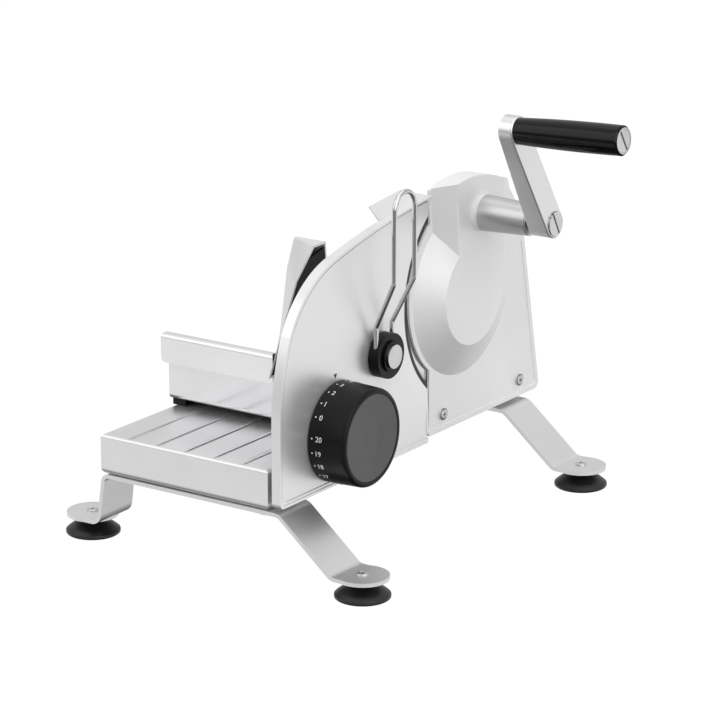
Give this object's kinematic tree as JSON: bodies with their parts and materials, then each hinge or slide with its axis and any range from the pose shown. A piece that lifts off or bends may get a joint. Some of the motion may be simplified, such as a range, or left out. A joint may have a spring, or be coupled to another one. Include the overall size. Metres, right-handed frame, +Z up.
{
  "type": "manual food slicer",
  "caption": "Hand-cranked food slicer: folded tray on bent strip legs, sliding carriage with leftover holder, adjustable stop plate with knob, round blade in a cast housing.",
  "frame": {"origin": "on the ground, in the middle of the four feet", "axes": "+X to the crank side, along the blade's axis; +Y to the back, along the carriage's travel; +Z up"},
  "size_m": [0.3741, 0.3697, 0.3287],
  "materials": {
    "sheet_aluminium": "satin anodised sheet",
    "strip_aluminium": "satin anodised strip",
    "cast_aluminium": "fine satin casting",
    "blade_steel": "ground stainless steel",
    "steel": "bright turned steel",
    "chrome": "polished",
    "brass": "machined",
    "bronze": "sintered bronze",
    "black_satin": "satin",
    "black_gloss": "gloss",
    "gear_plastic": "natural acetal",
    "rubber": "matt black rubber"
  },
  "bodies": {
    "base": {"tray": "sheet_aluminium", "leg_frame_front": "strip_aluminium", "leg_frame_back": "strip_aluminium", "rubber_foot_front_right": "rubber", "rubber_foot_front_left": "rubber", "rubber_foot_back_right": "rubber", "rubber_foot_back_left": "rubber", "foot_screws": "steel", "leg_bolts": "steel", "leg_nuts": "steel", "blade_housing": "cast_aluminium", "bearing_plate": "cast_aluminium", "bearing_plate_screws": "steel", "blade_bushes": "bronze", "crank_bushes": "bronze", "boss_end_ring": "steel", "housing_screws": "steel", "housing_spacers": "strip_aluminium", "housing_bracket": "strip_aluminium", "slide_rod": "steel", "slide_rod_brackets": "strip_aluminium", "guide_blocks": "cast_aluminium", "guide_bushes": "bronze", "feed_nut": "brass"},
    "blade": {"blade": "blade_steel", "blade_hub": "steel", "blade_hub_rivets": "steel", "blade_lock_cap": "steel", "blade_shaft": "steel", "blade_gear": "gear_plastic"},
    "crank": {"crank_shaft": "steel", "crank_gear": "steel", "crank_arm": "cast_aluminium", "crank_cap": "steel", "grip_pin": "steel"},
    "grip": {"grip": "black_gloss", "grip_collar": "steel"},
    "stop_plate": {"stop_plate": "cast_aluminium", "guide_rods": "steel", "knob_post": "steel", "knob_post_ring": "steel", "deflector_stud": "steel", "spindle_bush": "bronze"},
    "thickness_knob": {"thickness_knob": "black_satin", "knob_cap": "black_satin", "dial_gear": "gear_plastic"},
    "feed_spindle": {"feed_spindle": "steel", "feed_pinion": "steel"},
    "deflector": {"deflector_hub": "black_satin", "deflector_ring": "black_satin", "deflector_button": "steel", "deflector_wire": "chrome"},
    "carriage": {"carriage": "sheet_aluminium", "carriage_runner": "black_satin", "slide_blocks": "gear_plastic", "carriage_screws": "steel"},
    "leftover_holder": {"holder_saddle": "sheet_aluminium", "holder_link": "black_satin", "hand_shield": "strip_aluminium", "shield_screws": "steel"}
  },
  "joints": [
    {"name": "crank_turn", "type": "hinge", "parent": "base", "child": "crank", "pos_m": [0.0755, 0.0815, 0.233], "axis": [1, 0, 0], "continuous": true},
    {"name": "blade_turn", "type": "hinge", "parent": "base", "child": "blade", "pos_m": [0.0555, 0.078, 0.1725], "axis": [1, 0, 0], "continuous": true},
    {"name": "grip_spin", "type": "hinge", "parent": "crank", "child": "grip", "pos_m": [0.136, 0.03738, 0.31259], "axis": [0.9982, -0.0292, 0.0528], "continuous": true},
    {"name": "stop_slide", "type": "slide", "parent": "base", "child": "stop_plate", "axis": [1, 0, 0], "range_m": [-0.0035, 0.0165]},
    {"name": "knob_turn", "type": "hinge", "parent": "stop_plate", "child": "thickness_knob", "pos_m": [0.0673, -0.1015, 0.1024], "axis": [1, 0, 0], "range_deg": [-58.81, 277.21]},
    {"name": "spindle_turn", "type": "hinge", "parent": "stop_plate", "child": "feed_spindle", "pos_m": [0.059, -0.1015, 0.0764], "axis": [1, 0, 0], "range_deg": [-294.05, 1386.05]},
    {"name": "deflector_swing", "type": "hinge", "parent": "stop_plate", "child": "deflector", "pos_m": [0.0673, -0.0442, 0.1478], "axis": [1, 0, 0], "range_deg": [-80, 60]},
    {"name": "carriage_slide", "type": "slide", "parent": "base", "child": "carriage", "axis": [0, 1, 0], "range_m": [-0.055, 0.14]},
    {"name": "holder_slide", "type": "slide", "parent": "carriage", "child": "leftover_holder", "axis": [1, 0, 0], "range_m": [-0.045, 0.017]}
  ],
  "couplings": [
    {"joint": "blade_turn", "follows": "crank_turn", "ratio": -0.5},
    {"joint": "knob_turn", "follows": "stop_slide", "rad_per_m": 293.22},
    {"joint": "spindle_turn", "follows": "stop_slide", "rad_per_m": 1466.1}
  ]
}
